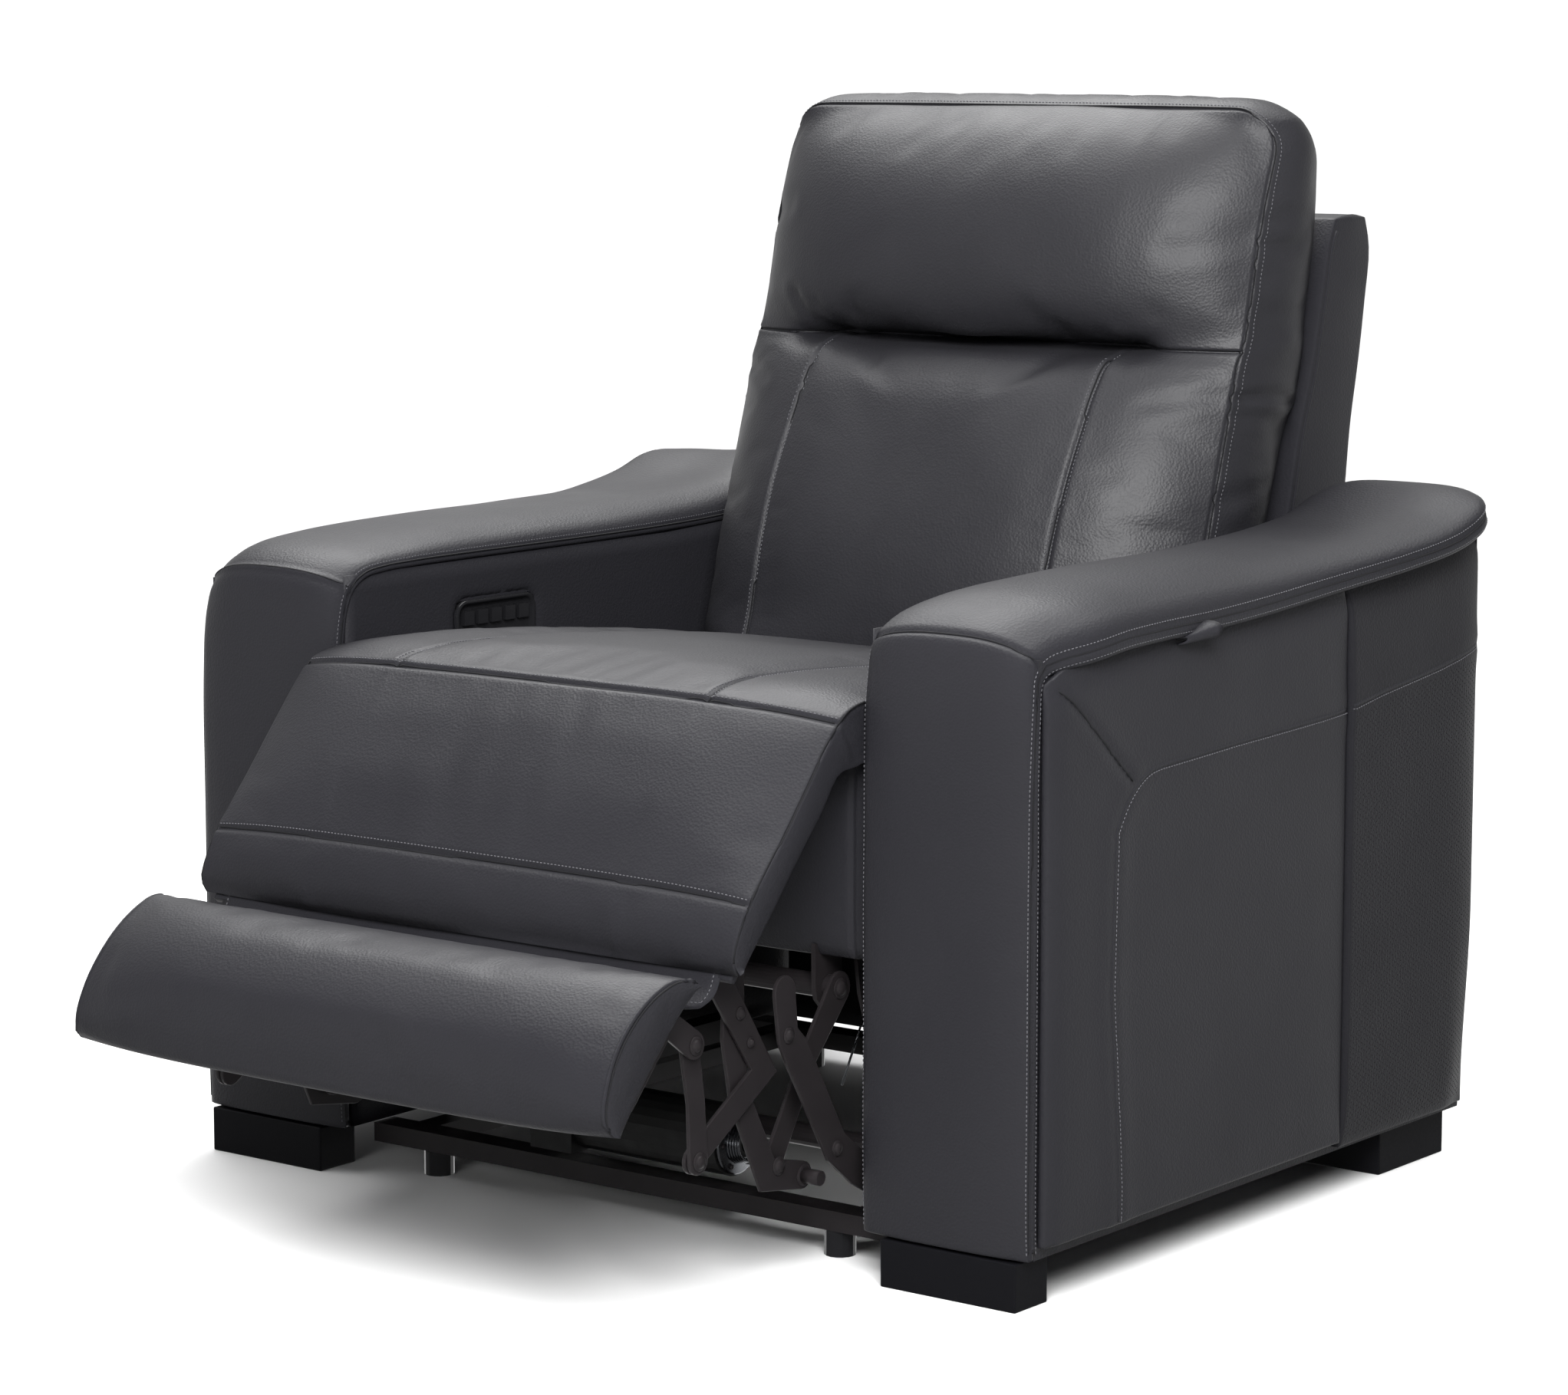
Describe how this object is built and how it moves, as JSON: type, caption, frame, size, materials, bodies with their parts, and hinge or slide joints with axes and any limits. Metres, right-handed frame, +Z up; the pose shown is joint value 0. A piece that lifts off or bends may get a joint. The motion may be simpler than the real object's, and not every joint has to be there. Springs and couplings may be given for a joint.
{
  "type": "recliner armchair",
  "caption": "Power recliner armchair in dark grey leather: padded arms with side pockets, folding leg rest with a footrest, reclining back and tilting headrest.",
  "frame": {"origin": "on the floor, under the middle of the chair's overall box at the rest pose", "axes": "+Z up, -Y the way the sitter faces, +X the sitter's left"},
  "size_m": [1.084, 1.2656, 1.059],
  "materials": {
    "leather": "pebbled, soft sheen",
    "perforated_leather": "perforated, matte",
    "under_cloth": "matte dust cover",
    "painted_steel": "satin black",
    "black_plastic": "gloss black",
    "black_foot": "satin black"
  },
  "bodies": {
    "base": {"base_front_rail": "painted_steel", "base_rear_rail": "painted_steel", "base_side_rail_left": "painted_steel", "base_side_rail_right": "painted_steel", "base_glide_front_left": "black_plastic", "base_glide_front_right": "black_plastic", "base_glide_rear_left": "black_plastic", "base_glide_rear_right": "black_plastic", "arm_frame_left": "leather", "arm_frame_right": "leather", "arm_front_panel_left": "leather", "arm_front_panel_right": "leather", "arm_rear_side_panel_left": "perforated_leather", "arm_rear_side_panel_right": "perforated_leather", "arm_cap_left": "leather", "arm_cap_right": "leather", "arm_foot_front_left": "black_foot", "arm_foot_front_right": "black_foot", "arm_foot_rear_left": "black_foot", "arm_foot_rear_right": "black_foot", "control_bezel": "black_plastic"},
    "pocket_flap_left": {"pocket_flap_left": "leather", "flap_pull_tab_left": "leather"},
    "pocket_flap_right": {"pocket_flap_right": "leather", "flap_pull_tab_right": "leather"},
    "control_button_1": {"control_button_1": "black_plastic"},
    "control_button_2": {"control_button_2": "black_plastic"},
    "control_button_3": {"control_button_3": "black_plastic"},
    "control_button_4": {"control_button_4": "black_plastic"},
    "control_button_5": {"control_button_5": "black_plastic"},
    "carriage": {"seat_frame": "under_cloth", "seat_front_panel": "leather", "seat_cushion": "leather", "carriage_cross_tube": "painted_steel", "drive_motor": "black_plastic", "seat_side_frame_left": "painted_steel", "seat_side_frame_right": "painted_steel", "shaft_bracket_left": "painted_steel", "shaft_bracket_right": "painted_steel", "recline_bracket_left": "painted_steel", "recline_bracket_right": "painted_steel"},
    "backrest": {"back_shell": "leather", "lumbar_cushion": "leather", "headrest_hinge_rod": "painted_steel", "back_bracket_left": "painted_steel", "back_bracket_right": "painted_steel"},
    "headrest": {"head_cushion": "leather"},
    "leg_rest": {"leg_rest_pad": "leather", "leg_arm_left": "painted_steel", "leg_arm_right": "painted_steel"},
    "leg_drive": {"drive_shaft": "painted_steel", "drive_link_left": "painted_steel", "drive_link_right": "painted_steel"},
    "leg_support": {"support_link_left": "painted_steel", "support_link_right": "painted_steel"},
    "foot_link": {"foot_link_left": "painted_steel", "foot_link_right": "painted_steel"},
    "footrest": {"footrest_pad": "leather", "foot_bracket_left": "painted_steel", "foot_bracket_right": "painted_steel"}
  },
  "joints": [
    {"name": "recline", "type": "hinge", "parent": "carriage", "child": "backrest", "pos_m": [0, 0.35883, 0.4], "axis": [-1, 0, 0], "range_deg": [0, 35]},
    {"name": "carriage_slide", "type": "slide", "parent": "base", "child": "carriage", "axis": [0, -1, 0], "range_m": [0, 0.1]},
    {"name": "headrest_tilt", "type": "hinge", "parent": "backrest", "child": "headrest", "pos_m": [0, 0.42683, 0.806], "axis": [1, 0, 0], "range_deg": [0, 30]},
    {"name": "leg_rest", "type": "hinge", "parent": "carriage", "child": "leg_rest", "pos_m": [0, -0.2862, 0.49001], "axis": [-1, 0, 0], "range_deg": [-42, 44]},
    {"name": "leg_drive", "type": "hinge", "parent": "carriage", "child": "leg_drive", "pos_m": [0, -0.22617, 0.26], "axis": [-1, 0, 0], "range_deg": [-43, 45]},
    {"name": "leg_support", "type": "hinge", "parent": "leg_rest", "child": "leg_support", "pos_m": [0, -0.38653, 0.34403], "axis": [-1, 0, 0], "range_deg": [-45, 43]},
    {"name": "foot_link", "type": "hinge", "parent": "leg_rest", "child": "foot_link", "pos_m": [0, -0.45517, 0.145], "axis": [-1, 0, 0], "range_deg": [-29, 28]},
    {"name": "footrest", "type": "hinge", "parent": "foot_link", "child": "footrest", "pos_m": [0, -0.46717, 0.252], "axis": [-1, 0, 0], "range_deg": [-28, 29]},
    {"name": "pocket_flap_left", "type": "hinge", "parent": "base", "child": "pocket_flap_left", "pos_m": [0.503, 0.00833, 0.056], "axis": [0, 1, 0], "range_deg": [0, 18]},
    {"name": "pocket_flap_right", "type": "hinge", "parent": "base", "child": "pocket_flap_right", "pos_m": [-0.503, 0.00833, 0.056], "axis": [0, -1, 0], "range_deg": [0, 18]},
    {"name": "control_button_1", "type": "slide", "parent": "base", "child": "control_button_1", "axis": [-1, 0, 0], "range_m": [0, 0.0015], "stiffness_N_per_m": 600, "springref_m": -0.001},
    {"name": "control_button_2", "type": "slide", "parent": "base", "child": "control_button_2", "axis": [-1, 0, 0], "range_m": [0, 0.0015], "stiffness_N_per_m": 600, "springref_m": -0.001},
    {"name": "control_button_3", "type": "slide", "parent": "base", "child": "control_button_3", "axis": [-1, 0, 0], "range_m": [0, 0.0015], "stiffness_N_per_m": 600, "springref_m": -0.001},
    {"name": "control_button_4", "type": "slide", "parent": "base", "child": "control_button_4", "axis": [-1, 0, 0], "range_m": [0, 0.0015], "stiffness_N_per_m": 600, "springref_m": -0.001},
    {"name": "control_button_5", "type": "slide", "parent": "base", "child": "control_button_5", "axis": [-1, 0, 0], "range_m": [0, 0.0015], "stiffness_N_per_m": 600, "springref_m": -0.001}
  ],
  "couplings": [
    {"joint": "carriage_slide", "follows": "recline", "m_per_rad": 0.16},
    {"joint": "leg_drive", "follows": "leg_rest", "ratio": 1},
    {"joint": "leg_support", "follows": "leg_rest", "ratio": -1},
    {"joint": "foot_link", "follows": "leg_rest", "ratio": -0.643},
    {"joint": "footrest", "follows": "leg_rest", "ratio": 0.643}
  ]
}
